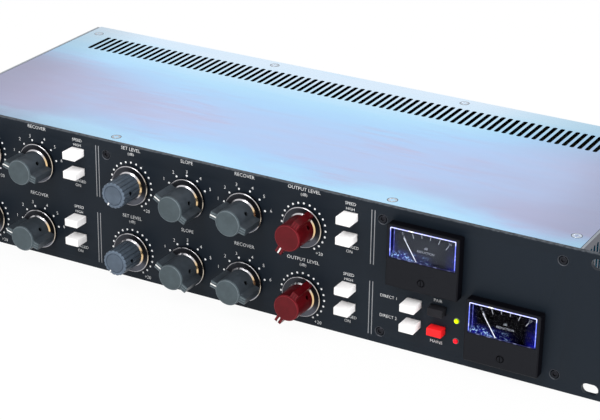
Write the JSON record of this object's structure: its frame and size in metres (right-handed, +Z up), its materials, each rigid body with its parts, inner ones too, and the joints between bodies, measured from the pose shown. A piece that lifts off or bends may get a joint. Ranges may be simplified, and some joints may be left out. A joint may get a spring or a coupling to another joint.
{
  "type": "rack compressor",
  "caption": "Rack-mount audio compressor: dark panel with skirted knobs, push buttons and lit needle meters, in a vented silver case with sockets at the back.",
  "frame": {"origin": "middle of the footprint, on the surface the case stands on", "axes": "+X to the right seen from the front, +Y from the front panel to the back, +Z up"},
  "size_m": [0.4826, 0.2064, 0.0881],
  "materials": {
    "panel_paint": "satin dark blue-grey paint",
    "bare_sheet": "bare brushed sheet",
    "zinc_steel": "zinc plated",
    "grey_knob": "satin dark grey",
    "red_knob": "satin dark red",
    "white_plastic": "white",
    "black_plastic": "black",
    "red_plastic": "red",
    "clear_window": "clear, lit blue-white at its edges",
    "dial_print": "dark blue print",
    "needle_white": "white",
    "link_lamp": "yellow-green lamp",
    "power_lamp": "red lamp",
    "socket_metal": "dark plated",
    "board_green": "green laminate",
    "winding_wrap": "wrapped winding on a steel core"
  },
  "bodies": {
    "chassis": {"front_panel": "panel_paint", "base_plate": "zinc_steel", "left_side_plate": "bare_sheet", "right_side_plate": "bare_sheet", "rear_panel": "zinc_steel", "top_cover": "bare_sheet", "left_cover_bracket": "zinc_steel", "right_cover_bracket": "zinc_steel", "control_board": "board_green", "switch_board": "board_green", "main_board": "board_green", "power_transformer": "winding_wrap", "transformer_clamp": "zinc_steel", "transformer_bolt": "zinc_steel", "mains_inlet": "black_plastic", "link_lamp": "link_lamp", "power_lamp": "power_lamp", "meter_1_case": "black_plastic", "meter_1_window": "clear_window", "meter_1_dial": "dial_print", "input_socket_1": "socket_metal", "input_socket_1_insert": "black_plastic", "output_socket_1": "socket_metal", "output_socket_1_insert": "black_plastic", "meter_2_case": "black_plastic", "meter_2_window": "clear_window", "meter_2_dial": "dial_print", "input_socket_2": "socket_metal", "input_socket_2_insert": "black_plastic", "output_socket_2": "socket_metal", "output_socket_2_insert": "black_plastic"},
    "limiter_threshold_knob_1": {"limiter_threshold_knob_1": "grey_knob"},
    "limiter_release_knob_1": {"limiter_release_knob_1": "grey_knob"},
    "threshold_knob_1": {"threshold_knob_1": "grey_knob"},
    "ratio_knob_1": {"ratio_knob_1": "grey_knob"},
    "release_knob_1": {"release_knob_1": "grey_knob"},
    "gain_knob_1": {"gain_knob_1": "red_knob"},
    "limiter_threshold_knob_2": {"limiter_threshold_knob_2": "grey_knob"},
    "limiter_release_knob_2": {"limiter_release_knob_2": "grey_knob"},
    "threshold_knob_2": {"threshold_knob_2": "grey_knob"},
    "ratio_knob_2": {"ratio_knob_2": "grey_knob"},
    "release_knob_2": {"release_knob_2": "grey_knob"},
    "gain_knob_2": {"gain_knob_2": "red_knob"},
    "limiter_attack_button_1": {"limiter_attack_button_1": "white_plastic"},
    "limiter_in_button_1": {"limiter_in_button_1": "white_plastic"},
    "attack_button_1": {"attack_button_1": "white_plastic"},
    "in_button_1": {"in_button_1": "white_plastic"},
    "limiter_attack_button_2": {"limiter_attack_button_2": "white_plastic"},
    "limiter_in_button_2": {"limiter_in_button_2": "white_plastic"},
    "attack_button_2": {"attack_button_2": "white_plastic"},
    "in_button_2": {"in_button_2": "white_plastic"},
    "bypass_button_1": {"bypass_button_1": "white_plastic"},
    "bypass_button_2": {"bypass_button_2": "white_plastic"},
    "link_button": {"link_button": "black_plastic"},
    "power_button": {"power_button": "red_plastic"},
    "meter_1_needle": {"meter_1_needle": "needle_white"},
    "meter_1_zero_screw": {"meter_1_zero_screw": "black_plastic"},
    "meter_2_needle": {"meter_2_needle": "needle_white"},
    "meter_2_zero_screw": {"meter_2_zero_screw": "black_plastic"}
  },
  "joints": [
    {"name": "limiter_threshold_knob_1_turn", "type": "hinge", "parent": "chassis", "child": "limiter_threshold_knob_1", "pos_m": [-0.181, -0.08305, 0.063], "axis": [0, 1, 0], "range_deg": [0, 300]},
    {"name": "limiter_release_knob_1_turn", "type": "hinge", "parent": "chassis", "child": "limiter_release_knob_1", "pos_m": [-0.1408, -0.08305, 0.063], "axis": [0, 1, 0], "range_deg": [0, 150]},
    {"name": "threshold_knob_1_turn", "type": "hinge", "parent": "chassis", "child": "threshold_knob_1", "pos_m": [-0.0705, -0.08305, 0.063], "axis": [0, 1, 0], "range_deg": [0, 300]},
    {"name": "ratio_knob_1_turn", "type": "hinge", "parent": "chassis", "child": "ratio_knob_1", "pos_m": [-0.0303, -0.08305, 0.063], "axis": [0, 1, 0], "range_deg": [0, 120]},
    {"name": "release_knob_1_turn", "type": "hinge", "parent": "chassis", "child": "release_knob_1", "pos_m": [0.0099, -0.08305, 0.063], "axis": [0, 1, 0], "range_deg": [0, 150]},
    {"name": "gain_knob_1_turn", "type": "hinge", "parent": "chassis", "child": "gain_knob_1", "pos_m": [0.0501, -0.08305, 0.063], "axis": [0, 1, 0], "range_deg": [0, 300]},
    {"name": "limiter_threshold_knob_2_turn", "type": "hinge", "parent": "chassis", "child": "limiter_threshold_knob_2", "pos_m": [-0.181, -0.08305, 0.018], "axis": [0, 1, 0], "range_deg": [0, 300]},
    {"name": "limiter_release_knob_2_turn", "type": "hinge", "parent": "chassis", "child": "limiter_release_knob_2", "pos_m": [-0.1408, -0.08305, 0.018], "axis": [0, 1, 0], "range_deg": [0, 150]},
    {"name": "threshold_knob_2_turn", "type": "hinge", "parent": "chassis", "child": "threshold_knob_2", "pos_m": [-0.0705, -0.08305, 0.018], "axis": [0, 1, 0], "range_deg": [0, 300]},
    {"name": "ratio_knob_2_turn", "type": "hinge", "parent": "chassis", "child": "ratio_knob_2", "pos_m": [-0.0303, -0.08305, 0.018], "axis": [0, 1, 0], "range_deg": [0, 120]},
    {"name": "release_knob_2_turn", "type": "hinge", "parent": "chassis", "child": "release_knob_2", "pos_m": [0.0099, -0.08305, 0.018], "axis": [0, 1, 0], "range_deg": [0, 150]},
    {"name": "gain_knob_2_turn", "type": "hinge", "parent": "chassis", "child": "gain_knob_2", "pos_m": [0.0501, -0.08305, 0.018], "axis": [0, 1, 0], "range_deg": [0, 300]},
    {"name": "limiter_attack_button_1_push", "type": "slide", "parent": "chassis", "child": "limiter_attack_button_1", "axis": [0, 1, 0], "range_m": [0, 0.004], "stiffness_N_per_m": 150, "springref_m": -0.003},
    {"name": "limiter_in_button_1_push", "type": "slide", "parent": "chassis", "child": "limiter_in_button_1", "axis": [0, 1, 0], "range_m": [0, 0.004], "stiffness_N_per_m": 150, "springref_m": -0.003},
    {"name": "attack_button_1_push", "type": "slide", "parent": "chassis", "child": "attack_button_1", "axis": [0, 1, 0], "range_m": [0, 0.004], "stiffness_N_per_m": 150, "springref_m": -0.003},
    {"name": "in_button_1_push", "type": "slide", "parent": "chassis", "child": "in_button_1", "axis": [0, 1, 0], "range_m": [0, 0.004], "stiffness_N_per_m": 150, "springref_m": -0.003},
    {"name": "limiter_attack_button_2_push", "type": "slide", "parent": "chassis", "child": "limiter_attack_button_2", "axis": [0, 1, 0], "range_m": [0, 0.004], "stiffness_N_per_m": 150, "springref_m": -0.003},
    {"name": "limiter_in_button_2_push", "type": "slide", "parent": "chassis", "child": "limiter_in_button_2", "axis": [0, 1, 0], "range_m": [0, 0.004], "stiffness_N_per_m": 150, "springref_m": -0.003},
    {"name": "attack_button_2_push", "type": "slide", "parent": "chassis", "child": "attack_button_2", "axis": [0, 1, 0], "range_m": [0, 0.004], "stiffness_N_per_m": 150, "springref_m": -0.003},
    {"name": "in_button_2_push", "type": "slide", "parent": "chassis", "child": "in_button_2", "axis": [0, 1, 0], "range_m": [0, 0.004], "stiffness_N_per_m": 150, "springref_m": -0.003},
    {"name": "bypass_button_1_push", "type": "slide", "parent": "chassis", "child": "bypass_button_1", "axis": [0, 1, 0], "range_m": [0, 0.004], "stiffness_N_per_m": 150, "springref_m": -0.003},
    {"name": "bypass_button_2_push", "type": "slide", "parent": "chassis", "child": "bypass_button_2", "axis": [0, 1, 0], "range_m": [0, 0.004], "stiffness_N_per_m": 150, "springref_m": -0.003},
    {"name": "link_button_push", "type": "slide", "parent": "chassis", "child": "link_button", "axis": [0, 1, 0], "range_m": [-0.004, 0]},
    {"name": "power_button_push", "type": "slide", "parent": "chassis", "child": "power_button", "axis": [0, 1, 0], "range_m": [-0.004, 0]},
    {"name": "meter_1_needle_swing", "type": "hinge", "parent": "chassis", "child": "meter_1_needle", "pos_m": [0.1303, -0.08305, 0.0518], "axis": [0, 1, 0], "range_deg": [0, 66], "stiffness_Nm_per_rad": 0.00005, "springref_deg": -11.46},
    {"name": "meter_1_zero_screw_turn", "type": "hinge", "parent": "chassis", "child": "meter_1_zero_screw", "pos_m": [0.1303, -0.08305, 0.0488], "axis": [0, 1, 0], "range_deg": [-20, 20]},
    {"name": "meter_2_needle_swing", "type": "hinge", "parent": "chassis", "child": "meter_2_needle", "pos_m": [0.1811, -0.08305, 0.0172], "axis": [0, 1, 0], "range_deg": [0, 66], "stiffness_Nm_per_rad": 0.00005, "springref_deg": -11.46},
    {"name": "meter_2_zero_screw_turn", "type": "hinge", "parent": "chassis", "child": "meter_2_zero_screw", "pos_m": [0.1811, -0.08305, 0.0142], "axis": [0, 1, 0], "range_deg": [-20, 20]}
  ]
}
